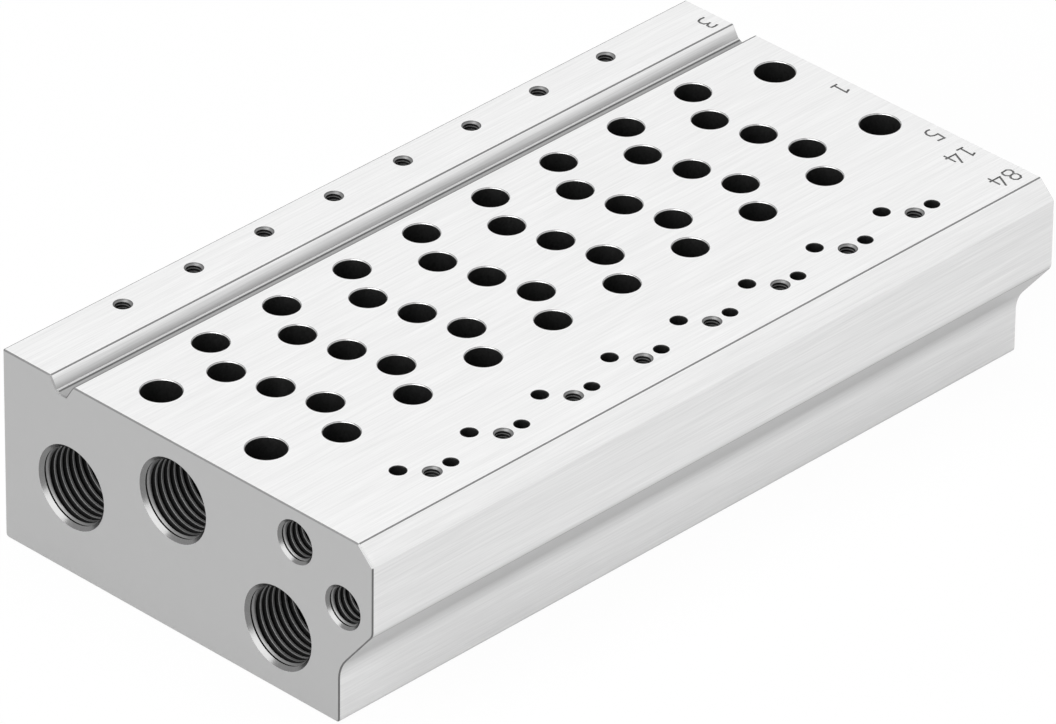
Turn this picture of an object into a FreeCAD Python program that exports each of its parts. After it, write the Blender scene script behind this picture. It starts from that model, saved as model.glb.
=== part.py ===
import FreeCAD, Part
import math
import os
import Sketcher

# Valve manifold rail: one extruded aluminium bar, drilled and tapped for eight small valves.
# The bar lies along X, its valve deck faces +Z and its undercut front faces -Y.
# The origin is the middle of the bottom of the bounding box. Lengths are in millimetres.

os.makedirs("parts", exist_ok=True)
doc = FreeCAD.newDocument("manifold_rail")
vector = FreeCAD.Vector

# Driving sizes
SIZES = [
    ("station_count", 8, "valve places along the rail"),
    ("station_pitch", 10.5, "from one valve place to the next"),
    ("end_margin", 15.25, "from an end face to the nearest valve place"),
    ("rail_width", 55.35, "back face to front face"),
    ("rail_height", 23.5, "bottom to deck"),
    ("axis_from_back", 25.6, "back face to the middle line of the valves"),
    ("ridge_width", 7.3, "strip behind the label groove"),
    ("groove_mouth", 3.4, "label groove across its top"),
    ("groove_depth", 1.7, "label groove below the deck"),
    ("groove_floor", 1.0, "flat floor of the label groove"),
    ("groove_wall_run", 0.85, "lean of the groove's back wall"),
    ("groove_wall_drop", 1.42, "height of the groove's back wall"),
    ("groove_ramp_run", 0.5, "ramp between back wall and floor"),
    ("front_chamfer", 2.1, "chamfer between deck and front face"),
    ("front_face_foot", 10.5, "deck to the foot of the front face"),
    ("undercut_depth", 4.9, "front face to the wall below it"),
    ("undercut_drop", 6.05, "height of the sloping underside"),
    ("undercut_brow_radius", 1.5, "rounding above the sloping underside"),
    ("undercut_root_radius", 4.4, "hollow rounding below the sloping underside"),
    ("foot_radius", 0.5, "rounding of the two long bottom edges"),
    ("edge_radius", 0.12, "fine rounding of the long top edges"),
    ("air_bore", 8.8, "G1/8 tapping drill, right through"),
    ("air_countersink", 0.6, "chamfer at each air port"),
    ("pilot_bore", 4.2, "M5 tapping drill, right through"),
    ("pilot_countersink", 0.5, "chamfer at each pilot port"),
    ("port_3_side", 15.3, "port 3 behind the valve axis"),
    ("port_3_depth", 12.7, "port 3 below the deck"),
    ("port_1_side", -0.15, "port 1 behind the valve axis"),
    ("port_1_depth", 7.25, "port 1 below the deck"),
    ("port_5_side", -15.8, "port 5 behind the valve axis"),
    ("port_5_depth", 15.8, "port 5 below the deck"),
    ("port_14_side", -18.35, "port 14 behind the valve axis"),
    ("port_14_depth", 4.05, "port 14 below the deck"),
    ("port_84_side", -25.4, "port 84 behind the valve axis"),
    ("port_84_depth", 8.85, "port 84 below the deck"),
    ("valve_bore", 4.0, "the five air holes of a valve place"),
    ("exhaust_side", 11.13, "exhaust holes off the valve axis"),
    ("exhaust_shift", 1.3, "exhaust holes along the rail"),
    ("outlet_side", 5.8, "blind outlet seats off the valve axis"),
    ("outlet_shift", 1.6, "blind outlet seats along the rail"),
    ("outlet_depth", 3.0, "depth of a blind outlet seat"),
    ("pilot_14_hole", 1.85, "pilot hole into gallery 14"),
    ("pilot_14_side", -20.55, "pilot hole 14 behind the valve axis"),
    ("pilot_14_shift", -2.4, "pilot hole 14 along the rail"),
    ("pilot_84_hole", 1.65, "pilot hole into gallery 84"),
    ("pilot_84_side", -23.25, "pilot hole 84 behind the valve axis"),
    ("pilot_84_shift", 2.65, "pilot hole 84 along the rail"),
    ("screw_bore", 1.6, "M2 tapping drill of the valve screws"),
    ("screw_side", 23.17, "valve screws off the valve axis"),
    ("screw_depth", 5.0, "depth of a valve screw hole"),
    ("mount_bore", 4.5, "through holes for the rail's own screws"),
    ("mount_side", 7.87, "mounting holes off the valve axis"),
    ("mount_margin_near", 6.15, "mounting holes from the near end"),
    ("mount_span", 93.5, "mounting holes along the rail"),
]

sheet = doc.addObject("Spreadsheet::Sheet", "sizes")
for row, (alias, value, note) in enumerate(SIZES, start=1):
    sheet.set("A%d" % row, alias)
    sheet.set("B%d" % row, str(value))
    sheet.set("C%d" % row, note)
    sheet.setAlias("B%d" % row, alias)
doc.recompute()

# Places that follow from the driving sizes, as formulas for the sketches
AXIS_Y = "(sizes.rail_width / 2 - sizes.axis_from_back)"
LENGTH = "((sizes.station_count - 1) * sizes.station_pitch + 2 * sizes.end_margin)"
FIRST_X = "(-(sizes.station_count - 1) * sizes.station_pitch / 2)"
PORTS_AIR = ("port_3", "port_1", "port_5")
PORTS_PILOT = ("port_14", "port_84")

# The sixteen small pilot holes are drawn with this many sides, close to round
PILOT_HOLE_SIDES = 14

body = doc.addObject("PartDesign::Body", "manifold_rail")
body.Label = "manifold_rail"


def size(alias):
    return float(sheet.get(alias))


def origin_feature(role):
    return next(f for f in body.Origin.OriginFeatures if f.Role == role)


def new_sketch(name, plane, offset=None):
    """A sketch on one of the body's origin planes, moved along its normal by a formula."""
    sketch = body.newObject("Sketcher::SketchObject", name)
    sketch.AttachmentSupport = [(origin_feature(plane), "")]
    sketch.MapMode = "FlatFace"
    if offset:
        sketch.setExpression("AttachmentOffset.Base.z", offset)
    return sketch


def bind(sketch, index, name, formula):
    """Names a sketch constraint and ties it to the sheet."""
    sketch.renameConstraint(index, name)
    sketch.setExpression("Constraints." + name, formula)


def place(sketch, circle, name, across, along):
    """Ties a circle's centre to its two formulas, from the sketch's origin."""
    for kind, formula in (("DistanceX", across), ("DistanceY", along)):
        index = sketch.addConstraint(Sketcher.Constraint(kind, -1, 1, circle, 3, 1.0))
        bind(sketch, index, name + kind[-1], formula)


def circles(name, plane, offset, radius, centres):
    """A sketch of equal circles, each with its centre given by two formulas."""
    sketch = new_sketch(name, plane, offset)
    for number, (across, along) in enumerate(centres):
        start = vector(3.0 * number + 1.0, 1.0, 0)
        circle = sketch.addGeometry(Part.Circle(start, vector(0, 0, 1), 1.0), False)
        place(sketch, circle, "centre%d" % number, across, along)
        if number == 0:
            index = sketch.addConstraint(Sketcher.Constraint("Radius", circle, 1.0))
            bind(sketch, index, "radius", radius)
        else:
            sketch.addConstraint(Sketcher.Constraint("Equal", 0, circle))
    doc.recompute()
    return sketch


def drilled(name, sketch, bore, depth=None):
    """Round holes, milled flat at the bottom; with no depth they go right through."""
    before = body.Shape.Volume
    hole = body.newObject("PartDesign::Hole", name)
    hole.Profile = sketch
    doc.recompute()
    hole.ThreadType = "None"
    hole.DrillPoint = "Flat"
    hole.setExpression("Diameter", bore)
    if depth:
        hole.DepthType = "Dimension"
        hole.setExpression("Depth", depth)
    else:
        hole.DepthType = "ThroughAll"
    body.Tip = hole
    doc.recompute()
    if not body.Shape.Volume < before:
        raise RuntimeError(name + " cut nothing")
    return hole


def many_sided(name, depth):
    """A small hole from the deck, drawn as a regular polygon with its corners on the bore."""
    before = body.Shape.Volume
    sketch = new_sketch(name + "_plan", "XY_Plane", "sizes.rail_height")
    sides = PILOT_HOLE_SIDES
    radius = size(name + "_hole") / 2
    first_x = -(size("station_count") - 1) * size("station_pitch") / 2
    axis_y = size("rail_width") / 2 - size("axis_from_back")
    centre = vector(first_x + size(name + "_shift"), axis_y + size(name + "_side"), 0)
    half_turn = math.pi / sides
    turns = [2 * half_turn * number - math.pi / 2 - half_turn for number in range(sides)]
    corners = [centre + vector(math.cos(turn), math.sin(turn), 0) * radius for turn in turns]
    for number, corner in enumerate(corners):
        line = Part.LineSegment(corner, corners[(number + 1) % sides])
        sketch.addGeometry(line, False)
    circle = sketch.addGeometry(Part.Circle(centre, vector(0, 0, 1), radius), True)
    for number in range(sides):
        following = (number + 1) % sides
        sketch.addConstraint(Sketcher.Constraint("Coincident", number, 2, following, 1))
        sketch.addConstraint(Sketcher.Constraint("PointOnObject", number, 1, circle))
    for number in range(1, sides):
        sketch.addConstraint(Sketcher.Constraint("Equal", 0, number))
    sketch.addConstraint(Sketcher.Constraint("Horizontal", 0))
    index = sketch.addConstraint(Sketcher.Constraint("Radius", circle, radius))
    bind(sketch, index, "radius", "sizes.%s_hole / 2" % name)
    for kind, value, formula in (
        ("DistanceX", centre.x, "%s + sizes.%s_shift" % (FIRST_X, name)),
        ("DistanceY", centre.y, "%s + sizes.%s_side" % (AXIS_Y, name)),
    ):
        index = sketch.addConstraint(Sketcher.Constraint(kind, -1, 1, circle, 3, value))
        bind(sketch, index, "centre" + kind[-1], formula)
    doc.recompute()
    if sketch.solve() != 0:
        raise RuntimeError("the outline of %s can't be solved" % name)
    pocket = body.newObject("PartDesign::Pocket", name)
    pocket.Profile = sketch
    pocket.setExpression("Length", depth)
    body.Tip = pocket
    doc.recompute()
    if not body.Shape.Volume < before:
        raise RuntimeError(name + " cut nothing")
    return pocket


def edge_names(shape, wanted):
    return ["Edge%d" % n for n, edge in enumerate(shape.Edges, start=1) if wanted(edge)]


def dressed(kind, name, wanted, size_property, formula):
    """A fillet or chamfer on every edge of the body that wanted() picks."""
    base = body.Tip
    names = edge_names(base.Shape, wanted)
    if not names:
        raise RuntimeError(name + " found no edge")
    feature = body.newObject(kind, name)
    feature.Base = (base, names)
    feature.setExpression(size_property, formula)
    body.Tip = feature
    doc.recompute()
    return feature


# The bar's section, drawn as corner points (y, z) with the long edges still sharp
def section_corners():
    top, back = size("rail_height"), size("rail_width") / 2
    ridge = back - size("ridge_width")
    wall_foot = ridge - size("groove_wall_run")
    floor_back = wall_foot - size("groove_ramp_run")
    floor = top - size("groove_depth")
    chamfer, face_foot = size("front_chamfer"), top - size("front_face_foot")
    lower_wall = -back + size("undercut_depth")
    return {
        "foot_back": (back, 0),
        "ridge_back": (back, top),
        "ridge_front": (ridge, top),
        "wall_foot": (wall_foot, top - size("groove_wall_drop")),
        "floor_back": (floor_back, floor),
        "floor_front": (floor_back - size("groove_floor"), floor),
        "deck_back": (ridge - size("groove_mouth"), top),
        "deck_front": (-back + chamfer, top),
        "face_top": (-back, top - chamfer),
        "face_foot": (-back, face_foot),
        "undercut_root": (lower_wall, face_foot - size("undercut_drop")),
        "foot_front": (lower_wall, 0),
    }


def rail_bar():
    """The extrusion: a closed outline of straight lines, padded to both sides of the middle."""
    sketch = new_sketch("rail_section", "YZ_Plane")
    corners = section_corners()
    names, points = list(corners), list(corners.values())
    number = {name: index for index, name in enumerate(names)}
    for index, (y, z) in enumerate(points):
        y_next, z_next = points[(index + 1) % len(points)]
        sketch.addGeometry(Part.LineSegment(vector(y, z, 0), vector(y_next, z_next, 0)), False)
    for index in range(len(points)):
        following = (index + 1) % len(points)
        sketch.addConstraint(Sketcher.Constraint("Coincident", index, 2, following, 1))
    for name in ("ridge_back", "floor_back", "deck_back", "foot_front"):
        sketch.addConstraint(Sketcher.Constraint("Horizontal", number[name]))
    for name in ("foot_back", "face_top", "undercut_root"):
        sketch.addConstraint(Sketcher.Constraint("Vertical", number[name]))
    level = Sketcher.Constraint("Horizontal", number["ridge_front"], 1, number["deck_back"], 1)
    sketch.addConstraint(level)
    on_floor = Sketcher.Constraint("PointOnObject", number["foot_back"], 1, -1)
    sketch.addConstraint(on_floor)

    def span(name, direction, first, second, formula):
        """A named distance from one corner to another; None stands for the origin."""
        start = (-1, 1) if first is None else (number[first], 1)
        end = (number[second], 1)
        index = sketch.addConstraint(Sketcher.Constraint(direction, *start, *end, 1.0))
        bind(sketch, index, name, formula)

    span("back_reach", "DistanceX", None, "foot_back", "sizes.rail_width / 2")
    span("front_reach", "DistanceX", "face_top", "foot_back", "sizes.rail_width")
    span("deck_height", "DistanceY", "foot_back", "ridge_back", "sizes.rail_height")
    span("ridge", "DistanceX", "ridge_front", "ridge_back", "sizes.ridge_width")
    span("mouth", "DistanceX", "deck_back", "ridge_front", "sizes.groove_mouth")
    span("wall_run", "DistanceX", "wall_foot", "ridge_front", "sizes.groove_wall_run")
    span("wall_drop", "DistanceY", "wall_foot", "ridge_front", "sizes.groove_wall_drop")
    span("ramp_run", "DistanceX", "floor_back", "wall_foot", "sizes.groove_ramp_run")
    span("depth", "DistanceY", "floor_back", "ridge_front", "sizes.groove_depth")
    span("floor", "DistanceX", "floor_front", "floor_back", "sizes.groove_floor")
    span("chamfer_run", "DistanceX", "face_top", "deck_front", "sizes.front_chamfer")
    span("chamfer_drop", "DistanceY", "face_top", "deck_front", "sizes.front_chamfer")
    span("face_drop", "DistanceY", "face_foot", "deck_front", "sizes.front_face_foot")
    span("undercut", "DistanceX", "face_foot", "undercut_root", "sizes.undercut_depth")
    span("slope_drop", "DistanceY", "undercut_root", "face_foot", "sizes.undercut_drop")
    doc.recompute()
    if sketch.solve() != 0:
        raise RuntimeError("the rail's section can't be solved")

    pad = body.newObject("PartDesign::Pad", "rail_bar")
    pad.Profile = sketch
    pad.Midplane = True
    pad.setExpression("Length", LENGTH)
    body.Tip = pad
    doc.recompute()
    return pad


def long_edge_at(*names):
    """Picks the edges that run the length of the rail through the named corners."""
    corners = section_corners()
    places = [corners[name] for name in names]

    def wanted(edge):
        box = edge.BoundBox
        runs_along = box.XLength > box.YLength + box.ZLength + 1.0
        near = any(abs(box.YMin - y) + abs(box.ZMin - z) < 0.01 for y, z in places)
        return runs_along and near

    return wanted


def port_mouth(names, bore):
    """Picks the round edges of the named ports at both ends."""
    axis_y = size("rail_width") / 2 - size("axis_from_back")
    half = body.Tip.Shape.BoundBox.XMax
    centres = [
        vector(0, axis_y + size(port + "_side"), size("rail_height") - size(port + "_depth"))
        for port in names
    ]

    def wanted(edge):
        if not isinstance(edge.Curve, Part.Circle) or abs(edge.Curve.Radius - size(bore) / 2) > 0.001:
            return False
        centre = edge.Curve.Center
        if abs(abs(centre.x) - half) > 0.001:
            return False
        return any(abs(centre.y - c.y) + abs(centre.z - c.z) < 0.001 for c in centres)

    return wanted


def galleries(name, ports, bore):
    """Air galleries drilled right through the rail, each with a port at both ends."""
    centres = [
        ("%s + sizes.%s_side" % (AXIS_Y, port), "sizes.rail_height - sizes.%s_depth" % port)
        for port in ports
    ]
    sketch = circles(name + "_plan", "YZ_Plane", None, "sizes.%s / 2" % bore, centres)
    before = body.Shape.Volume
    pocket = body.newObject("PartDesign::Pocket", name)
    pocket.Profile = sketch
    pocket.Type = "ThroughAll"
    pocket.Midplane = True
    body.Tip = pocket
    doc.recompute()
    if not pocket.Shape.Volume < before:
        raise RuntimeError(name + " cut nothing")


def station_holes(name, bore, depth, centres):
    """The holes of the first valve place, drilled from the deck."""
    plan = [("%s + %s" % (FIRST_X, x), "%s + %s" % (AXIS_Y, y)) for x, y in centres]
    sketch = circles(name + "_plan", "XY_Plane", "sizes.rail_height", bore + " / 2", plan)
    return drilled(name, sketch, bore, depth)


rail_bar()
dressed(
    "PartDesign::Fillet", "undercut_root", long_edge_at("undercut_root"),
    "Radius", "sizes.undercut_root_radius",
)
dressed(
    "PartDesign::Fillet", "undercut_brow", long_edge_at("face_foot"),
    "Radius", "sizes.undercut_brow_radius",
)
dressed(
    "PartDesign::Fillet", "foot_rounds", long_edge_at("foot_back", "foot_front"),
    "Radius", "sizes.foot_radius",
)
dressed(
    "PartDesign::Fillet", "deck_edges",
    long_edge_at("ridge_back", "ridge_front", "deck_back", "deck_front"),
    "Radius", "sizes.edge_radius",
)

# Air galleries 3, 1 and 5 and pilot galleries 14 and 84
galleries("air_galleries", PORTS_AIR, "air_bore")
galleries("pilot_galleries", PORTS_PILOT, "pilot_bore")
dressed(
    "PartDesign::Chamfer", "air_port_mouths", port_mouth(PORTS_AIR, "air_bore"),
    "Size", "sizes.air_countersink",
)
dressed(
    "PartDesign::Chamfer", "pilot_port_mouths", port_mouth(PORTS_PILOT, "pilot_bore"),
    "Size", "sizes.pilot_countersink",
)

# Four through holes for the rail's own screws
near_x = "(-%s / 2 + sizes.mount_margin_near)" % LENGTH
far_x = "(%s + sizes.mount_span)" % near_x
mount_plan = circles(
    "mounting_holes_plan", "XY_Plane", "sizes.rail_height", "sizes.mount_bore / 2",
    [(x, "%s %s sizes.mount_side" % (AXIS_Y, sign)) for x in (near_x, far_x) for sign in "+-"],
)
drilled("mounting_holes", mount_plan, "sizes.mount_bore")

# One valve place: exhausts 3 and 5, supply 1, two blind outlet seats, two pilots, two screws
first_station = [
    station_holes(
        "exhaust_3", "sizes.valve_bore", "sizes.port_3_depth",
        [("sizes.exhaust_shift", "sizes.exhaust_side")],
    ),
    station_holes("supply_1", "sizes.valve_bore", "sizes.port_1_depth", [("0", "0")]),
    station_holes(
        "exhaust_5", "sizes.valve_bore", "sizes.port_5_depth",
        [("-sizes.exhaust_shift", "-sizes.exhaust_side")],
    ),
    station_holes(
        "outlet_seats", "sizes.valve_bore", "sizes.outlet_depth",
        [
            ("-sizes.outlet_shift", "sizes.outlet_side"),
            ("sizes.outlet_shift", "-sizes.outlet_side"),
        ],
    ),
    many_sided("pilot_14", "sizes.port_14_depth"),
    many_sided("pilot_84", "sizes.port_84_depth"),
    station_holes(
        "valve_screws", "sizes.screw_bore", "sizes.screw_depth",
        [("0", "sizes.screw_side"), ("0", "-sizes.screw_side")],
    ),
]

# The valve place is repeated along the rail
volume_of_one = body.Shape.Volume
stations = body.newObject("PartDesign::LinearPattern", "stations")
stations.Originals = first_station
stations.Direction = (origin_feature("X_Axis"), [""])
stations.setExpression("Length", "(sizes.station_count - 1) * sizes.station_pitch")
stations.setExpression("Occurrences", "sizes.station_count")
body.Tip = stations
doc.recompute()
if not body.Shape.Volume < volume_of_one:
    raise RuntimeError("the valve places weren't repeated")

# Nothing is written unless every object of the document is sound
for item in doc.Objects:
    if any(word in item.State for word in ("Invalid", "Error")):
        raise RuntimeError(item.Name + " failed")
if body.Shape.isNull() or not body.Shape.isValid() or len(body.Shape.Solids) != 1:
    raise RuntimeError("the rail isn't one valid solid")
body.Shape.exportStep("parts/%s.step" % body.Label)
box = body.Shape.BoundBox
print("manifold_rail %.2f x %.2f x %.2f mm" % (box.XLength, box.YLength, box.ZLength))
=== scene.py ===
"""Valve manifold rail: a brushed aluminium bar, drilled and tapped for eight small valves."""

import math

import bmesh
import bpy
from mathutils import Matrix, Vector


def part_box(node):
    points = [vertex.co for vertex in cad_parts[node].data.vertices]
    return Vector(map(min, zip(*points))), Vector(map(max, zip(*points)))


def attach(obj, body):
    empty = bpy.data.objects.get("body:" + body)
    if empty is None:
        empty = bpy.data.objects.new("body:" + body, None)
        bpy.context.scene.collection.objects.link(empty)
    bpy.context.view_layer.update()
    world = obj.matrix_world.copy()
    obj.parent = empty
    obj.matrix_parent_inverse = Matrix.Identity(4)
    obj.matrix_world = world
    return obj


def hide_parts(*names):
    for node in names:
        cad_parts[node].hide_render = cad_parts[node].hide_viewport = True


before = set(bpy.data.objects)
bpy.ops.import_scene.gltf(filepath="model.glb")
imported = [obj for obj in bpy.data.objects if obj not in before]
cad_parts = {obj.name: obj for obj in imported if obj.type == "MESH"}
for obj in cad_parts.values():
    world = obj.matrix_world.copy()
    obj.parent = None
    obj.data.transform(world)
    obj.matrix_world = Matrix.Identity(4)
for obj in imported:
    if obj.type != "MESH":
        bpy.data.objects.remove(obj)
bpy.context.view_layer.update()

# Lengths are written in millimetres and scaled once, when a mesh is made
MM = 0.001

# The bar's own box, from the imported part: half its length, its back and its deck
_, box_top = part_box("manifold_rail")
HALF, BACK, DECK = box_top / MM

# Section of the extrusion
AXIS_Y = BACK - 25.6
RIDGE_WIDTH = 7.3
GROOVE_MOUTH = 3.4
GROOVE_DEPTH = 1.7
GROOVE_FLOOR = 1.0
GROOVE_WALL_RUN = 0.85
GROOVE_WALL_DROP = 1.42
GROOVE_RAMP_RUN = 0.5
FRONT_CHAMFER = 2.1
FRONT_FACE_FOOT = 10.5
UNDERCUT_DEPTH = 4.9
UNDERCUT_DROP = 6.05
BROW_RADIUS = 1.5
ROOT_RADIUS = 4.4
FOOT_RADIUS = 0.5
FLOOR_RADIUS = 0.05
EDGE_RADIUS = 0.2
FRONT_EDGE_RADIUS = 0.26
END_BREAK = 0.15
# Where a fine dark line of painted shade crosses the groove's ramp, as parts of the ramp
RAMP_SHADE_LINE = (0.42, 0.78)
# The shallow break along the groove's deck-side edge: its width and depth
LIP_WIDTH, LIP_DEPTH = 0.27, 0.05
# How squarely an end edge's side faces up to count as the deck, and as a slope, which decides
# the painted light and shade on it
DECK_FACING, SLOPE_FACING = 0.9, 0.3

# Valve places along the rail
STATION_COUNT = 8
STATION_PITCH = 10.5
FIRST_STATION = -STATION_PITCH * (STATION_COUNT - 1) / 2

# Galleries: side from the valve axis and depth below the deck
AIR_PORTS = {"3": (15.3, 12.7), "1": (-0.15, 7.25), "5": (-15.8, 15.8)}
PILOT_PORTS = {"14": (-18.35, 4.05), "84": (-25.4, 8.85)}

# Bore radius, mouth radius and chamfer, the fine relief groove below it (its depths and
# radius), the rounded lead into the bore, the thread's outer radius and pitch, the depths
# where it starts and ends, and the flat sides that make one turn of the bore and thread
AIR_THREAD = {
    "bore": 4.4, "mouth": 5.0, "chamfer": 0.43, "relief": (0.46, 0.65),
    "relief_radius": 4.76, "lead": ((0.68, 4.62), (0.82, 4.5), (0.95, 4.42)),
    "major": 4.864, "pitch": 0.907, "start": 0.97, "start_turn": 0.375, "depth": 8.2,
    "bore_sides": 64, "thread_sides": 64,
}
PILOT_THREAD = {
    "bore": 2.1, "mouth": 2.6, "chamfer": 0.33, "relief": (0.36, 0.5),
    "relief_radius": 2.4, "lead": ((0.53, 2.29), (0.63, 2.19), (0.74, 2.12)),
    "major": 2.5, "pitch": 0.8, "start": 0.78, "start_turn": 0.375, "depth": 5.6,
    "bore_sides": 48, "thread_sides": 44,
}
SCREW_THREAD = {
    "bore": 0.84, "mouth": 1.1, "chamfer": 0.26,
    "major": 1.0, "pitch": 0.4, "start": 0.2, "start_turn": 0.0, "depth": 3.4,
    "bore_sides": 28, "thread_sides": 20,
}
# Along a gallery: from the rounded lead to the plain bore, and past the thread's last turn
LEAD_END, PAST_THREAD = 0.2, 0.5
# The thread's groove, as parts of its pitch: half its width at the mouth, at the rounded
# shoulder and at the bottom, and the shoulder's height
THREAD_MOUTH, THREAD_SHOULDER, THREAD_BOTTOM = 0.385, 0.335, 0.06
THREAD_SHOULDER_RISE = 0.08
# The turns over which the thread reaches its full depth and runs out again, and the
# least part of its depth at both ends
THREAD_RUN_IN, THREAD_RUN_OUT = 0.3, 0.8
THREAD_LEAST = 0.02
# The thread's foot inside the bore, as a part of the bore's radius and a little less
THREAD_FOOT_PART, THREAD_FOOT_LESS = 0.985, 0.03
# The fine dark line of painted shade at the outer edge of a deck hole's rim, and of a screw
# hole's
RIM_SHADE_LINE = 0.04
SCREW_RIM_SHADE_LINE = 0.1
# How far the painted highlight band inside that line goes in and down
RIM_BAND_IN, RIM_BAND_DOWN = 0.04, 0.075

# Holes of one valve place: along, across, radius, depth and rim radius
EXHAUST_SHIFT, EXHAUST_SIDE = 1.3, 11.13
OUTLET_SHIFT, OUTLET_SIDE, OUTLET_DEPTH = 1.6, 5.8, 3.0
VALVE_BORE, VALVE_RIM = 2.0, 2.115
PILOT_14 = {"shift": -2.4, "side": -20.55, "bore": 0.925, "rim": 1.0}
PILOT_84 = {"shift": 2.65, "side": -23.25, "bore": 0.825, "rim": 0.91}
SCREW_SIDE, SCREW_DEPTH = 23.17, 5.0
DECK_HOLE_SIDES, PILOT_HOLE_SIDES = 40, 28
# The cone a drill leaves: its depth as a part of the bore's radius, and its tip's radius
DRILL_POINT_PART, DRILL_TIP = 0.55, 0.05
SCREW_POINT_DEPTH, SCREW_TIP = 0.4, 0.1

# Through holes for the rail's own screws
MOUNT_BORE, MOUNT_RIM = 2.25, 2.36
MOUNT_SIDE = 7.87
MOUNT_INSET, MOUNT_SPAN = 6.15, 93.5
MOUNT_PLACES = (-HALF + MOUNT_INSET, -HALF + MOUNT_INSET + MOUNT_SPAN)
MOUNT_HOLE_SIDES = 48

# How far each cutter starts outside the face that it cuts
OUTSIDE = 1
# Edges that turn by more than this many degrees are shaded as sharp
SHARP_ANGLE = 30

# Finishes in the order of the rail's material slots; several of them are painted with light and
# shade
(
    BRUSHED, MILLED_SHADE, EDGE_SHADE, RIM_LIGHT, BORE_SHADE, MOUTH, CREST_SHADE, THREAD_SHADE, CUT_SHADE, SOFT_EDGE_SHADE, GROOVE_SIDE,
) = range(11)


class Form:
    """Corners and faces gathered for one mesh, each face with its finish."""

    def __init__(self):
        self.points = []
        self.faces = []
        self.finishes = []
        self.rounded = []

    def ring(self, points):
        start = len(self.points)
        self.points.extend(points)
        return list(range(start, len(self.points)))

    def face(self, corners, finish, rounded=False):
        self.faces.append(corners)
        self.finishes.append(finish)
        self.rounded.append(rounded)

    def strip(self, first, second, finish, rounded=False):
        """Joins two closed rings; finish and rounded may be lists, one for each side."""
        count = len(first)
        for here in range(count):
            after = (here + 1) % count
            kind = finish[here] if isinstance(finish, list) else finish
            soft = rounded[here] if isinstance(rounded, list) else rounded
            self.face([first[here], first[after], second[after], second[here]], kind, soft)

    def mesh(self, name):
        mesh = bpy.data.meshes.new(name)
        corners = [tuple(value * MM for value in point) for point in self.points]
        mesh.from_pydata(corners, [], self.faces)
        mesh.polygons.foreach_set("material_index", self.finishes)
        mesh.polygons.foreach_set("use_smooth", self.rounded)
        tidy = bmesh.new()
        tidy.from_mesh(mesh)
        bmesh.ops.recalc_face_normals(tidy, faces=tidy.faces)
        tidy.to_mesh(mesh)
        tidy.free()
        mesh.update()
        return mesh


def rounded_corner(before, corner, after, radius, steps):
    """Points of the arc that rounds a corner of the section."""
    if radius == 0:
        return [corner]
    to_before = (before - corner).normalized()
    to_after = (after - corner).normalized()
    opening = to_before.angle(to_after)
    inward = (to_before + to_after).normalized()
    centre = corner + inward * (radius / math.sin(opening / 2))
    reach = radius / math.tan(opening / 2)
    first = corner + to_before * reach - centre
    last = corner + to_after * reach - centre
    sweep = first.angle_signed(last)
    points = []
    for step in range(steps + 1):
        turn = Matrix.Rotation(-sweep * step / steps, 2)
        points.append(centre + turn @ first)
    return points


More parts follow.
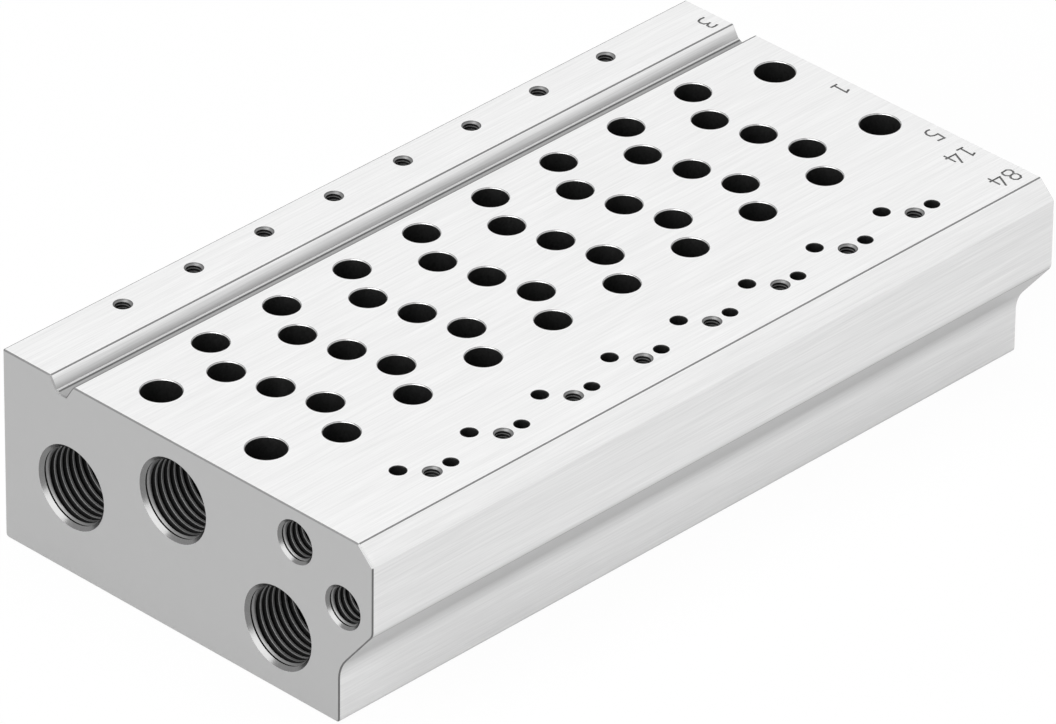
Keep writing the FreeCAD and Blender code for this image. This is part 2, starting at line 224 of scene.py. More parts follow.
def section():
    """The bar's outline as (y, z) points, each side's finish and whether it is rounded."""
    ridge = BACK - RIDGE_WIDTH
    wall_foot = ridge - GROOVE_WALL_RUN
    floor_back = wall_foot - GROOVE_RAMP_RUN
    floor = DECK - GROOVE_DEPTH
    face_foot = DECK - FRONT_FACE_FOOT
    lower_wall = -BACK + UNDERCUT_DEPTH
    drop = GROOVE_DEPTH - GROOVE_WALL_DROP
    line = [
        (wall_foot - GROOVE_RAMP_RUN * part, DECK - GROOVE_WALL_DROP - drop * part)
        for part in RAMP_SHADE_LINE
    ]
    # The brow's arc has a fine dark line of painted shade near its foot, where it turns under
    brow = [BRUSHED] * 6 + [EDGE_SHADE, BRUSHED]
    # Corner, its rounding, the arc's steps and finish, and the finish of the side after it
    corners = [
        ((BACK, 0), FOOT_RADIUS, 4, BRUSHED, BRUSHED),
        ((BACK, DECK), EDGE_RADIUS, 3, EDGE_SHADE, BRUSHED),
        # In the groove, the wall is painted darker towards its foot as shade, its creases and a
        # line across the ramp are painted shade, the ramp's top part is painted bright as lit,
        # and the rest of the ramp and the floor are painted darker as shade
        ((ridge, DECK), EDGE_RADIUS, 3, SOFT_EDGE_SHADE, GROOVE_SIDE),
        ((wall_foot, DECK - GROOVE_WALL_DROP), FLOOR_RADIUS, 2, EDGE_SHADE, RIM_LIGHT),
        (line[0], 0, 0, EDGE_SHADE, EDGE_SHADE),
        (line[1], 0, 0, MILLED_SHADE, MILLED_SHADE),
        ((floor_back, floor), 0, 0, MILLED_SHADE, MILLED_SHADE),
        ((floor_back - GROOVE_FLOOR, floor), FLOOR_RADIUS, 2, EDGE_SHADE, MILLED_SHADE),
        ((ridge - GROOVE_MOUTH, DECK - LIP_DEPTH), EDGE_RADIUS, 2, SOFT_EDGE_SHADE, SOFT_EDGE_SHADE),
        ((ridge - GROOVE_MOUTH - LIP_WIDTH, DECK), 0, 0, BRUSHED, BRUSHED),
        ((-BACK + FRONT_CHAMFER, DECK), FRONT_EDGE_RADIUS, 3, SOFT_EDGE_SHADE, BRUSHED),
        ((-BACK, DECK - FRONT_CHAMFER), EDGE_RADIUS, 2, BRUSHED, BRUSHED),
        ((-BACK, face_foot), BROW_RADIUS, 8, brow, BRUSHED),
        ((lower_wall, face_foot - UNDERCUT_DROP), ROOT_RADIUS, 12, BRUSHED, BRUSHED),
        ((lower_wall, 0), FOOT_RADIUS, 4, BRUSHED, BRUSHED),
    ]
    places = [Vector(corner[0]) for corner in corners]
    outline, finishes, rounded = [], [], []
    for number, (_, radius, steps, finish, following) in enumerate(corners):
        before, after = places[number - 1], places[(number + 1) % len(places)]
        arc = rounded_corner(before, places[number], after, radius, steps)
        outline += arc
        if not isinstance(finish, list):
            finish = [finish] * (len(arc) - 1)
        finishes += finish + [following]
        rounded += [True] * (len(arc) - 1) + [False]
    return outline, finishes, rounded


def end_edge_finishes(outline):
    """The broken end edges, painted by which way they face: a paler painted shade line along
    the deck, the lamp-catching mouth finish on the slopes, and dark painted shade elsewhere, as
    at the front.
    """
    finishes = []
    for number, point in enumerate(outline):
        along = (outline[(number + 1) % len(outline)] - point).normalized()
        outward = Vector((along.y, -along.x))
        if outward.y > DECK_FACING:
            finishes.append(SOFT_EDGE_SHADE)
        elif outward.y > SLOPE_FACING and point.x < 0:
            finishes.append(MOUTH)
        else:
            finishes.append(EDGE_SHADE)
    return finishes


def drawn_in(outline, distance):
    """The outline moved inwards by a distance, with mitred corners."""
    moved = []
    for number, point in enumerate(outline):
        before = (point - outline[number - 1]).normalized()
        after = (outline[(number + 1) % len(outline)] - point).normalized()
        first = Vector((-before.y, before.x))
        second = Vector((-after.y, after.x))
        moved.append(point + (first + second) * (distance / (1 + first.dot(second))))
    return moved


def bar():
    """The extruded bar, with its end edges lightly broken."""
    outline, finishes, rounded = section()
    inner = drawn_in(outline, END_BREAK)
    form = Form()
    places = [
        (-HALF, inner), (-HALF + END_BREAK, outline),
        (HALF - END_BREAK, outline), (HALF, inner),
    ]
    rings = [form.ring([(x, y, z) for y, z in points]) for x, points in places]
    # The milled ends are painted a darker grey as the shade on them
    form.face(rings[0], MILLED_SHADE)
    edges = end_edge_finishes(outline)
    form.strip(rings[0], rings[1], edges)
    form.strip(rings[1], rings[2], finishes, rounded)
    form.strip(rings[2], rings[3], edges)
    form.face(rings[3], MILLED_SHADE)
    return form


def turned(form, start, inward, profile, steps, finishes):
    """A turned cutter: profile holds (depth, radius) from its outer end to its inner end."""
    side = inward.orthogonal().normalized()
    other = inward.cross(side)
    rings = []
    for depth, radius in profile:
        points = []
        for step in range(steps):
            turn = 2 * math.pi * (step + 0.5) / steps
            arm = side * math.cos(turn) + other * math.sin(turn)
            points.append(start + inward * depth + arm * radius)
        rings.append(form.ring(points))
    form.face(rings[0], finishes[0])
    for number, (first, second) in enumerate(zip(rings, rings[1:])):
        form.strip(first, second, finishes[number], True)
    form.face(rings[-1], finishes[-1])


def thread(form, start, inward, cut):
    """The tap's path: a closed ridge that winds into the bore and runs out at its end."""
    side = inward.orthogonal().normalized()
    other = inward.cross(side)
    steps = cut["thread_sides"]
    pitch = cut["pitch"]
    root = cut["bore"] * THREAD_FOOT_PART - THREAD_FOOT_LESS
    slope = (THREAD_MOUTH - THREAD_SHOULDER) / THREAD_SHOULDER_RISE
    bottom = THREAD_BOTTOM * pitch
    # Half of the groove's section, from its foot inside the bore to its bottom
    half_section = [
        (THREAD_MOUTH * pitch + (cut["bore"] - root) * slope, root),
        (THREAD_SHOULDER * pitch, cut["bore"] + THREAD_SHOULDER_RISE * pitch),
        (bottom, cut["major"]),
    ]
    whole = [(-half, radius) for half, radius in half_section]
    whole += [(half, radius) for half, radius in reversed(half_section)]
    # The thread's shoulders and flanks are painted dark as the shade inside the bore, the
    # shoulders paler than the flanks
    sides = [CREST_SHADE, THREAD_SHADE, THREAD_SHADE, THREAD_SHADE, CREST_SHADE, THREAD_SHADE]
    count = int((cut["depth"] - cut["start"]) / pitch * steps)
    ring = None
    for step in range(count + 1):
        turn = 2 * math.pi * (step / steps + cut["start_turn"])
        arm = side * math.cos(turn) + other * math.sin(turn)
        middle = cut["start"] + pitch * step / steps
        run_in = step / steps / THREAD_RUN_IN
        run_out = (count - step) / steps / THREAD_RUN_OUT
        share = max(THREAD_LEAST, min(1.0, run_in, run_out))
        points = []
        for offset, radius in whole:
            edge = math.copysign(bottom, offset)
            depth = middle + edge + (offset - edge) * share
            points.append(start + inward * depth + arm * (root + (radius - root) * share))
        following = form.ring(points)
        if ring:
            form.strip(ring, following, sides, True)
        else:
            form.face(following, THREAD_SHADE)
        ring = following
    form.face(ring, THREAD_SHADE)


def port_places():
    """Both mouths of every gallery: its centre, the way in and its thread."""
    for ports, cut in ((AIR_PORTS, AIR_THREAD), (PILOT_PORTS, PILOT_THREAD)):
        for side, depth in ports.values():
            for end in (-1, 1):
                centre = Vector((end * HALF, AXIS_Y + side, DECK - depth))
                yield centre, Vector((-end, 0, 0)), cut


def station_places():
    return [FIRST_STATION + STATION_PITCH * number for number in range(STATION_COUNT)]


def port_mouth(cut):
    """From outside inwards: chamfer, relief groove, rounded lead, and the bore to be tapped."""
    first, last = cut["relief"]
    return [
        (-OUTSIDE, cut["mouth"] + OUTSIDE),
        (cut["chamfer"], cut["mouth"] - cut["chamfer"]),
        (first, cut["relief_radius"]),
        (last, cut["relief_radius"]),
        *cut["lead"],
        (cut["lead"][-1][0] + LEAD_END, cut["bore"]),
        (cut["depth"] + PAST_THREAD, cut["bore"]),
    ]


def galleries_and_screw_holes():
    """First cut: the galleries with their chamfered mouths, and the small screw holes."""
    form = Form()
    # Inside the ports, colours are painted as shade: the relief groove darkest, the leads and
    # the tapped bore dark grey, the untapped middle nearly black
    near = [MOUTH, THREAD_SHADE, THREAD_SHADE, THREAD_SHADE, SOFT_EDGE_SHADE, SOFT_EDGE_SHADE, SOFT_EDGE_SHADE, CREST_SHADE]
    finishes = near + [BORE_SHADE] + near[::-1] + [MOUTH]
    for ports, cut in ((AIR_PORTS, AIR_THREAD), (PILOT_PORTS, PILOT_THREAD)):
        mouth = port_mouth(cut)
        far_mouth = [(2 * HALF - inwards, radius) for inwards, radius in reversed(mouth)]
        for side, depth in ports.values():
            start = Vector((-HALF, AXIS_Y + side, DECK - depth))
            along = Vector((1, 0, 0))
            turned(form, start, along, mouth + far_mouth, cut["bore_sides"], finishes)
    bore, rim = SCREW_THREAD["bore"], SCREW_THREAD["mouth"]
    profile = [
        (-OUTSIDE, rim + OUTSIDE), (SCREW_RIM_SHADE_LINE, rim - SCREW_RIM_SHADE_LINE),
        (SCREW_THREAD["chamfer"], bore), (SCREW_DEPTH, bore),
        (SCREW_DEPTH + SCREW_POINT_DEPTH, SCREW_TIP),
    ]
    # The screw holes' rims carry a painted shade line, and their walls and drill points are
    # painted dark as shade
    finishes = [EDGE_SHADE, SOFT_EDGE_SHADE, CREST_SHADE, BORE_SHADE, BORE_SHADE]
    for x in station_places():
        for side in (SCREW_SIDE, -SCREW_SIDE):
            start = Vector((x, AXIS_Y + side, DECK))
            down = Vector((0, 0, -1))
            turned(form, start, down, profile, SCREW_THREAD["bore_sides"], finishes)
    return form


def rim_shade_and_highlight(rim, bore):
    """The top of a deck hole: a dark outer line of painted shade, a bright band of painted
    highlight, and the step into the bore.
    """
    low = RIM_SHADE_LINE + RIM_BAND_DOWN
    inner = rim - RIM_SHADE_LINE - RIM_BAND_IN
    profile = [
        (-OUTSIDE, rim + OUTSIDE), (RIM_SHADE_LINE, rim - RIM_SHADE_LINE),
        (low, inner), (low + inner - bore, bore),
    ]
    return profile, [EDGE_SHADE, RIM_LIGHT, BORE_SHADE]


def deck_hole(form, x, side, bore, rim, depth, steps=DECK_HOLE_SIDES, point=True, painted_rim=True):
    """A drilled hole, whose rim can carry the painted shade line and highlight band; point
    leaves the drill's cone.
    """
    if painted_rim:
        profile, finishes = rim_shade_and_highlight(rim, bore)
    else:
        profile, finishes = [(-OUTSIDE, rim + OUTSIDE), (rim - bore, bore)], [BORE_SHADE]
    profile.append((depth, bore))
    finishes += [BORE_SHADE, BORE_SHADE]
    if point:
        profile.append((depth + bore * DRILL_POINT_PART, DRILL_TIP))
        finishes.append(BORE_SHADE)
    turned(form, Vector((x, AXIS_Y + side, DECK)), Vector((0, 0, -1)), profile, steps, finishes)


def deck_holes():
    """Second cut: the air, pilot and mounting holes, and every thread."""
    form = Form()
    for x in station_places():
        for shift, side, port in (
            (EXHAUST_SHIFT, EXHAUST_SIDE, "3"), (0, 0, "1"),
            (-EXHAUST_SHIFT, -EXHAUST_SIDE, "5"),
        ):
            deck_hole(form, x + shift, side, VALVE_BORE, VALVE_RIM, AIR_PORTS[port][1])
        for sign in (-1, 1):
            deck_hole(
                form, x + sign * OUTLET_SHIFT, -sign * OUTLET_SIDE, VALVE_BORE, VALVE_RIM,
                OUTLET_DEPTH, point=False,
            )
        for hole, port in ((PILOT_14, "14"), (PILOT_84, "84")):
            depth = PILOT_PORTS[port][1]
            deck_hole(
                form, x + hole["shift"], hole["side"], hole["bore"], hole["rim"], depth,
                steps=PILOT_HOLE_SIDES, painted_rim=False,
            )
        for side in (SCREW_SIDE, -SCREW_SIDE):
            start = Vector((x, AXIS_Y + side, DECK))
            thread(form, start, Vector((0, 0, -1)), SCREW_THREAD)
    # The mounting holes' rims carry the same painted shade line and highlight band
    profile, finishes = rim_shade_and_highlight(MOUNT_RIM, MOUNT_BORE)
    chamfer = MOUNT_RIM - MOUNT_BORE
    profile += [(DECK - chamfer, MOUNT_BORE), (DECK + OUTSIDE, MOUNT_RIM + OUTSIDE)]
    finishes += [BORE_SHADE, RIM_LIGHT, RIM_LIGHT]
    for x in MOUNT_PLACES:
        for side in (MOUNT_SIDE, -MOUNT_SIDE):
            start = Vector((x, AXIS_Y + side, DECK))
            turned(form, start, Vector((0, 0, -1)), profile, MOUNT_HOLE_SIDES, finishes)
    for centre, inward, cut in port_places():
        thread(form, centre, inward, cut)
    return form


# Port numbers engraved at the far end: strokes as (x, y) points, split in two passes
# so that strokes that meet are never cut together
DIGIT_STROKES = (
    [
        [(50.65, 23.55), (50.04, 23.61), (49.60, 23.45), (49.46, 23.10), (49.56, 22.60),
         (49.95, 22.38)],
        [(49.50, 3.33), (50.56, 3.34)],
        [(50.70, -10.41), (50.25, -10.33), (49.85, -10.50), (49.66, -10.90), (49.72, -11.35),
         (50.13, -11.60), (50.65, -11.62), (50.56, -12.72), (49.55, -12.58)],
        [(49.50, -15.42), (50.52, -15.46)],
        [(47.68, -15.22), (47.70, -17.0)],
        [(47.61, -21.80), (47.62, -23.6)],
        [(49.60, -22.05), (50.35, -22.0), (50.66, -22.3), (50.66, -22.7), (50.35, -23.05),
         (49.75, -23.1), (49.42, -22.75), (49.40, -22.35), (49.60, -22.05)],
    ],
    [
        [(50.35, 22.30), (49.95, 22.30), (49.58, 22.08), (49.52, 21.75), (49.70, 21.46),
         (50.09, 21.40), (50.60, 21.47)],
        [(50.07, 3.38), (50.02, 1.39), (50.67, 1.66)],
        [(50.12, -15.42), (50.04, -17.34), (50.63, -17.14)],
        [(47.30, -15.83), (48.88, -15.86), (48.06, -17.66)],
        [(47.17, -22.44), (48.78, -22.45), (47.94, -24.2)],
        [(49.75, -23.12), (50.35, -23.07), (50.60, -23.4), (50.58, -23.85), (50.3, -24.18),
         (49.8, -24.2), (49.48, -23.9), (49.46, -23.45), (49.75, -23.12)],
    ],
)
STROKE_WIDTH = 0.26
STROKE_DEPTH = 0.12
# The channel's floor and its open top, as parts of its width, and the top's height
STROKE_FLOOR_PART, STROKE_TOP_PART, STROKE_TOP_RISE = 0.55, 1.2, 0.05


def stroke(form, points):
    """One engraved line: a shallow channel that follows the points."""
    line = [Vector(point) for point in points]
    closed = (line[0] - line[-1]).length < 0.001
    if closed:
        line.pop()
    edges = []
    for number, point in enumerate(line):
        before = after = None
        if closed or number > 0:
            before = point - line[number - 1]
        if closed or number < len(line) - 1:
            after = line[(number + 1) % len(line)] - point
        first = (before or after).normalized()
        second = (after or before).normalized()
        left, right = Vector((-first.y, first.x)), Vector((-second.y, second.x))
        edges.append((left + right) * (STROKE_WIDTH / 2 / (1 + left.dot(right))))
    # The channel's walls and ends are painted dark as shade, its floor a paler painted shade
    channel = [CUT_SHADE, CUT_SHADE, SOFT_EDGE_SHADE, CUT_SHADE, CUT_SHADE, CUT_SHADE]
    rings = []
    for point, edge in zip(line, edges):
        outer, inner = point + edge, point - edge
        floor_edge, top_edge = edge * STROKE_FLOOR_PART, edge * STROKE_TOP_PART
        low, high = DECK - STROKE_DEPTH, DECK + STROKE_TOP_RISE
        rings.append(form.ring([
            (*(point + top_edge), high), (*outer, DECK), (*(point + floor_edge), low),
            (*(point - floor_edge), low), (*inner, DECK), (*(point - top_edge), high),
        ]))
    for first, second in zip(rings, rings[1:]):
        form.strip(first, second, channel)
    if closed:
        form.strip(rings[-1], rings[0], channel)
    else:
        form.face(rings[0], CUT_SHADE)
        form.face(rings[-1], CUT_SHADE)


def linked(name, mesh):
    piece = bpy.data.objects.new(name, mesh)
    bpy.context.scene.collection.objects.link(piece)
    return piece


def cut_away(piece, form):
    """Cuts the form out of the piece, and leaves neither modifier nor cutter behind."""
    cutter = linked("cutter", form.mesh("cutter"))
    # Empty slots keep the cut faces on the piece's own finishes
    for _ in FINISH_MAKERS:
        cutter.data.materials.append(None)
    cut = piece.modifiers.new("cut", "BOOLEAN")
    cut.operation = "DIFFERENCE"
    cut.solver = "EXACT"
    cut.object = cutter
    graph = bpy.context.evaluated_depsgraph_get()
    result = bpy.data.meshes.new_from_object(piece.evaluated_get(graph))
    piece.modifiers.clear()
    old = piece.data
    piece.data = result
    bpy.data.meshes.remove(old)
    bpy.data.objects.remove(cutter)


def rail():
    """The whole rail in one piece, which stands for the CAD solid."""
    piece = linked("rail", bar().mesh("rail"))
    grain = brushing()
    for maker in FINISH_MAKERS:
        piece.data.materials.append(maker(grain))
    for cut, strokes in zip((galleries_and_screw_holes(), deck_holes()), DIGIT_STROKES):
        for points in strokes:
            stroke(cut, points)
        cut_away(piece, cut)
    piece.data.set_sharp_from_angle(angle=math.radians(SHARP_ANGLE))
    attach(piece, "root")
    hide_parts("manifold_rail")


def group_socket(tree, direction, kind, name, value=None):
    """Adds one named input or output to a node group."""
    socket = tree.interface.new_socket(name, in_out=direction, socket_type=kind)
    if value is not None:
        socket.default_value = value


# The broad streaks beside the fine ones: how much longer, wider and weaker they are
BROAD_LONGER, BROAD_WIDER, BROAD_SHARE = 1.7, 2.6, 0.6
# How soon painted shade darkens a face as it turns down, and how far the streaks move the
# roughness
UNDERSIDE_STEEPNESS, ROUGHNESS_SWING = 1.6, 0.12
BUMP_STRENGTH = 0.15


def brushing():
    """Node group: fine streaks along the rail, as grey colour, roughness and height, with
    painted shade on faces that turn down and towards the groove wall's foot.
    """
    tree = bpy.data.node_groups.new("brushing", "ShaderNodeTree")
    group_socket(tree, "INPUT", "NodeSocketFloat", "Streak length", 9.0)
    group_socket(tree, "INPUT", "NodeSocketFloat", "Streak width", 0.16)
    group_socket(tree, "INPUT", "NodeSocketFloat", "Colour depth", 0.03)
    group_socket(tree, "INPUT", "NodeSocketFloat", "Brightness", 0.9)
    group_socket(tree, "INPUT", "NodeSocketFloat", "Roughness", 0.42)
    group_socket(tree, "INPUT", "NodeSocketFloat", "Underside painted shade", 0.0)
    group_socket(tree, "INPUT", "NodeSocketFloat", "Foot painted shade", 0.0)
    group_socket(tree, "OUTPUT", "NodeSocketColor", "Colour")
    group_socket(tree, "OUTPUT", "NodeSocketFloat", "Roughness")
    group_socket(tree, "OUTPUT", "NodeSocketFloat", "Height")
    nodes, links = tree.nodes, tree.links
    given, out = nodes.new("NodeGroupInput"), nodes.new("NodeGroupOutput")
    place = nodes.new("ShaderNodeTexCoord")
    split = nodes.new("ShaderNodeSeparateXYZ")
    links.new(place.outputs["Object"], split.inputs["Vector"])

    def maths(operation, first, second):
        node = nodes.new("ShaderNodeMath")
        node.operation = operation
        for socket, value in zip(node.inputs, (first, second)):
            if isinstance(value, (int, float)):
                socket.default_value = value
            else:
                links.new(value, socket)
        return node.outputs["Value"]

    def streaks(longer, wider):
        """Noise drawn out into streaks, centred on nought."""
        length = maths("MULTIPLY", given.outputs["Streak length"], longer)
        width = maths("MULTIPLY", given.outputs["Streak width"], wider)
        along, across = maths("DIVIDE", 1 / MM, length), maths("DIVIDE", 1 / MM, width)
        join = nodes.new("ShaderNodeCombineXYZ")
        for axis, scale in (("X", along), ("Y", across), ("Z", across)):
            links.new(maths("MULTIPLY", split.outputs[axis], scale), join.inputs[axis])
        noise = nodes.new("ShaderNodeTexNoise")
        noise.inputs["Scale"].default_value = 1
        noise.inputs["Detail"].default_value = 1
        links.new(join.outputs["Vector"], noise.inputs["Vector"])
        return maths("SUBTRACT", noise.outputs["Fac"], 0.5)

    fine, broad = streaks(1, 1), streaks(BROAD_LONGER, BROAD_WIDER)
    both = maths("ADD", fine, maths("MULTIPLY", broad, BROAD_SHARE))
    swing = maths("MULTIPLY", both, given.outputs["Colour depth"])
    grey = nodes.new("ShaderNodeCombineColor")
    facing = nodes.new("ShaderNodeSeparateXYZ")
    links.new(place.outputs["Normal"], facing.inputs["Vector"])
    # Painted shade: faces darken as they turn down
    turned_down = maths("MULTIPLY", facing.outputs["Z"], -UNDERSIDE_STEEPNESS)
    under = maths("MINIMUM", maths("MAXIMUM", turned_down, 0), 1)
    underside_shade = maths("MULTIPLY", under, given.outputs["Underside painted shade"])
    # Painted shade: darker towards the groove wall's foot, by height
    foot = nodes.new("ShaderNodeMapRange")
    foot.interpolation_type = "SMOOTHSTEP"
    foot.inputs["From Min"].default_value = (DECK - GROOVE_WALL_DROP) * MM
    foot.inputs["From Max"].default_value = DECK * MM
    foot.inputs["To Min"].default_value = 1
    foot.inputs["To Max"].default_value = 0
    links.new(split.outputs["Z"], foot.inputs["Value"])
    shaded = maths("MULTIPLY", foot.outputs["Result"], given.outputs["Foot painted shade"])
    kept = maths("SUBTRACT", maths("SUBTRACT", 1, underside_shade), shaded)
    level = maths("MULTIPLY", maths("ADD", given.outputs["Brightness"], swing), kept)
    for channel in ("Red", "Green", "Blue"):
        links.new(level, grey.inputs[channel])
    links.new(grey.outputs["Color"], out.inputs["Colour"])
    rougher = maths("MULTIPLY", fine, ROUGHNESS_SWING)
    links.new(maths("ADD", given.outputs["Roughness"], rougher), out.inputs["Roughness"])
    links.new(both, out.inputs["Height"])
    return tree


def metal(name, brightness, metallic, roughness):
    """A plain grey metal with its shader's own values set."""
    material = bpy.data.materials.new(name)
    material.use_nodes = True
    shader = material.node_tree.nodes["Principled BSDF"]
    shader.inputs["Base Color"].default_value = (brightness, brightness, brightness, 1)
    shader.inputs["Metallic"].default_value = metallic
    shader.inputs["Roughness"].default_value = roughness
    return material


def brushed(material, tree, length, width, depth, height, underside=0.0, foot=0.0):
    """Lays streaks over a metal's own brightness; length, width and height in millimetres;
    underside and foot darken it with painted shade where it turns down and towards the groove
    wall's foot.
    """
    nodes, links = material.node_tree.nodes, material.node_tree.links
    shader = nodes["Principled BSDF"]
    grain = nodes.new("ShaderNodeGroup")
    grain.node_tree = tree
    grain.inputs["Streak length"].default_value = length
    grain.inputs["Streak width"].default_value = width
    grain.inputs["Colour depth"].default_value = depth
    grain.inputs["Brightness"].default_value = shader.inputs["Base Color"].default_value[0]
    grain.inputs["Roughness"].default_value = shader.inputs["Roughness"].default_value
    grain.inputs["Underside painted shade"].default_value = underside
    grain.inputs["Foot painted shade"].default_value = foot
    links.new(grain.outputs["Colour"], shader.inputs["Base Color"])
    links.new(grain.outputs["Roughness"], shader.inputs["Roughness"])
    bump = nodes.new("ShaderNodeBump")
    bump.inputs["Strength"].default_value = BUMP_STRENGTH
    bump.inputs["Distance"].default_value = height * MM
    links.new(grain.outputs["Height"], bump.inputs["Height"])
    links.new(bump.outputs["Normal"], shader.inputs["Normal"])
    return material


def brushed_aluminium(grain):
    """The long faces, brushed along the rail, and darkened with painted shade where they turn
    down.
    """
    plain = metal("brushed_aluminium", brightness=0.82, metallic=0.4, roughness=0.42)
    return brushed(plain, grain, length=7, width=0.12, depth=0.17, height=0.02, underside=0.42)


def milled_end_shade(grain):
    """The milled ends and the groove's floor, painted an even darker grey as the shade on them.
    """
    plain = metal("milled_end_shade", brightness=0.365, metallic=0.4, roughness=0.5)
    return brushed(plain, grain, length=0.4, width=0.4, depth=0.01, height=0.005)


def broken_edge_shade(grain):
    """The fine dark lines of painted shade on the broken edges and in the creases."""
    plain = metal("broken_edge_shade", brightness=0.14, metallic=0.8, roughness=0.35)
    return brushed(plain, grain, length=4, width=0.2, depth=0.04, height=0.01)


def rim_highlight(grain):
    """The painted highlight of the bright rims of the deck holes and the groove's ramp."""
    plain = metal("rim_highlight", brightness=0.6, metallic=0.7, roughness=0.3)
    return brushed(plain, grain, length=0.5, width=0.2, depth=0.06, height=0.01)


def drilled_bore_shade(grain):
    """The insides of the bores, painted nearly black as the shade in them."""
    plain = metal("drilled_bore_shade", brightness=0.012, metallic=0.3, roughness=0.5)
    return brushed(plain, grain, length=0.2, width=0.2, depth=0.02, height=0.01)


def chamfered_mouth(grain):
    """The turned chamfers of the ports, which catch the lamp, their colour painted dark as
    shade where they don't.
    """
    plain = metal("chamfered_mouth", brightness=0.2, metallic=1.0, roughness=0.25)
    return brushed(plain, grain, length=0.3, width=0.3, depth=0.03, height=0.005)


def thread_crest_shade(grain):
    """The crests between the thread's grooves, painted dark grey as shade, paler than the
    grooves.
    """
    plain = metal("thread_crest_shade", brightness=0.18, metallic=0.3, roughness=0.5)
    return brushed(plain, grain, length=0.3, width=0.3, depth=0.04, height=0.005)


def thread_flank_shade(grain):
    """The grooves of the thread, painted dark as shade."""
    plain = metal("thread_flank_shade", brightness=0.008, metallic=0.8, roughness=0.45)
    return brushed(plain, grain, length=0.3, width=0.3, depth=0.005, height=0.005)


def engraved_number_shade(grain):
    """The walls of the port numbers, painted dark as the shade in their channels."""
    plain = metal("engraved_number_shade", brightness=0.17, metallic=0.5, roughness=0.5)
    return brushed(plain, grain, length=0.2, width=0.1, depth=0.04, height=0.005)


def soft_edge_shade(grain):
    """The paler lines of painted shade on the edges along the deck, and on the rounded leads of
    the ports.
    """
    plain = metal("soft_edge_shade", brightness=0.22, metallic=0.7, roughness=0.4)
    return brushed(plain, grain, length=4, width=0.2, depth=0.04, height=0.01)


def groove_wall(grain):
    """The groove's steep wall, brushed and darkened with painted shade towards its foot."""
    plain = metal("groove_wall", brightness=0.84, metallic=0.95, roughness=0.32)
    return brushed(plain, grain, length=7, width=0.12, depth=0.25, height=0.02, foot=0.44)


# One maker for each finish, in the order of the slots
FINISH_MAKERS = [
    brushed_aluminium, milled_end_shade, broken_edge_shade, rim_highlight, drilled_bore_shade, chamfered_mouth,
    thread_crest_shade, thread_flank_shade, engraved_number_shade, soft_edge_shade, groove_wall,
]


def mixed_with_white(tree, plain, share):
    """Shows white in place of a plain shader to the camera, to gloss and through glass."""
    nodes, links = tree.nodes, tree.links
    path = nodes.new("ShaderNodeLightPath")
    seen = nodes.new("ShaderNodeMath")
    seen.operation = "MAXIMUM"
    links.new(path.outputs["Is Camera Ray"], seen.inputs[0])
    links.new(path.outputs["Is Glossy Ray"], seen.inputs[1])
    any_ray = nodes.new("ShaderNodeMath")
    any_ray.operation = "MAXIMUM"
    links.new(seen.outputs["Value"], any_ray.inputs[0])
    links.new(path.outputs["Is Transmission Ray"], any_ray.inputs[1])
    part = nodes.new("ShaderNodeMath")
    part.operation = "MULTIPLY"
    part.inputs[1].default_value = share
    links.new(any_ray.outputs["Value"], part.inputs[0])
    white = nodes.new("ShaderNodeEmission")
    white.inputs["Color"].default_value = (1, 1, 1, 1)
    mix = nodes.new("ShaderNodeMixShader")
    links.new(part.outputs["Value"], mix.inputs["Fac"])
    links.new(plain, mix.inputs[1])
    links.new(white.outputs["Emission"], mix.inputs[2])
    return mix.outputs["Shader"]


# Half the floor's width in metres, and how much of it shows as plain white
FLOOR_REACH, FLOOR_WHITE = 0.6, 0.96
WORLD_STRENGTH = 0.35


def floor():
    """A plain pale floor, seen as white but for a soft part of the rail's shadow."""
    mesh = bpy.data.meshes.new("floor")
    corners = [
        (x * FLOOR_REACH, y * FLOOR_REACH, 0) for x, y in ((-1, -1), (1, -1), (1, 1), (-1, 1))
    ]
    mesh.from_pydata(corners, [], [(0, 1, 2, 3)])
    sheet = linked("floor", mesh)
    material = metal("pale_floor", brightness=0.9, metallic=0, roughness=0.9)
    tree = material.node_tree
    plain = tree.nodes["Principled BSDF"].outputs["BSDF"]
    shown = mixed_with_white(tree, plain, FLOOR_WHITE)
    tree.links.new(shown, tree.nodes["Material Output"].inputs["Surface"])
    mesh.materials.append(material)


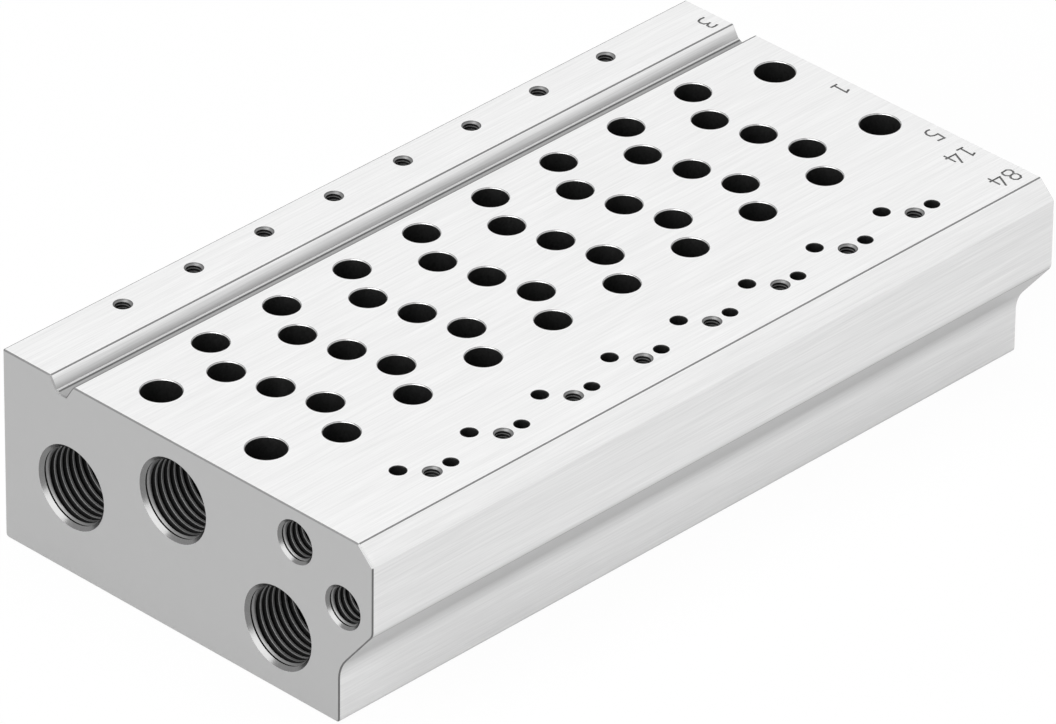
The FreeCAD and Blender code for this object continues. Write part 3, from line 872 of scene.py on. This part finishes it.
def studio_world():
    """Even white light from all round, seen as full white."""
    world = bpy.data.worlds.new("studio")
    bpy.context.scene.world = world
    world.use_nodes = True
    tree = world.node_tree
    background = tree.nodes["Background"]
    background.inputs["Color"].default_value = (1, 1, 1, 1)
    background.inputs["Strength"].default_value = WORLD_STRENGTH
    shown = mixed_with_white(tree, background.outputs["Background"], 1.0)
    tree.links.new(shown, tree.nodes["World Output"].inputs["Surface"])


def lamp(name, place, power, width, in_gloss=True):
    """A square soft lamp that faces the rail's middle; in_gloss shows it in the metal."""
    light = bpy.data.lights.new(name, "AREA")
    light.energy = power
    light.size = width
    holder = bpy.data.objects.new(name, light)
    holder.location = place
    holder.visible_glossy = in_gloss
    holder.rotation_euler = Vector(place).to_track_quat("Z", "Y").to_euler()
    bpy.context.scene.collection.objects.link(holder)


def studio_lamps():
    """Places and widths in metres, powers in watts."""
    lamp("near_end", (-1.36, -0.24, 0.75), power=25, width=1.6)
    lamp("overhead", (0.2, 0.1, 1.3), power=7.3, width=0.8, in_gloss=False)


# The photograph's view, fitted to the rims of the holes and ports; the roll in degrees
CAMERA_PLACE = (-766.806, -744.093, 680.004)
CAMERA_TARGET = (-3.651, -2.611, 14.097)
CAMERA_ROLL = 0.6314
# The lens, as its focal length in pixels of a picture this wide, and the sensor in mm
FOCAL_PIXELS, PICTURE_WIDTH = 11750.938, 1056
SENSOR_WIDTH = 36


def camera():
    """The photograph's view: a long lens, from the near end's front corner."""
    place = Vector(CAMERA_PLACE) * MM
    target = Vector(CAMERA_TARGET) * MM
    roll = math.radians(CAMERA_ROLL)
    back = (place - target).normalized()
    level_right = Vector((0, 0, 1)).cross(back).normalized()
    level_up = back.cross(level_right)
    right = level_right * math.cos(roll) + level_up * math.sin(roll)
    up = level_up * math.cos(roll) - level_right * math.sin(roll)
    lens = bpy.data.cameras.new("camera")
    lens.sensor_width = SENSOR_WIDTH
    lens.lens = SENSOR_WIDTH * FOCAL_PIXELS / PICTURE_WIDTH
    lens.clip_end = 10
    eye = bpy.data.objects.new("camera", lens)
    turn = Matrix((right, up, back)).transposed().to_4x4()
    eye.matrix_world = Matrix.Translation(place) @ turn
    bpy.context.scene.collection.objects.link(eye)
    bpy.context.scene.camera = eye


rail()
floor()
studio_world()
studio_lamps()
camera()
bpy.context.scene.view_settings.view_transform = "Standard"
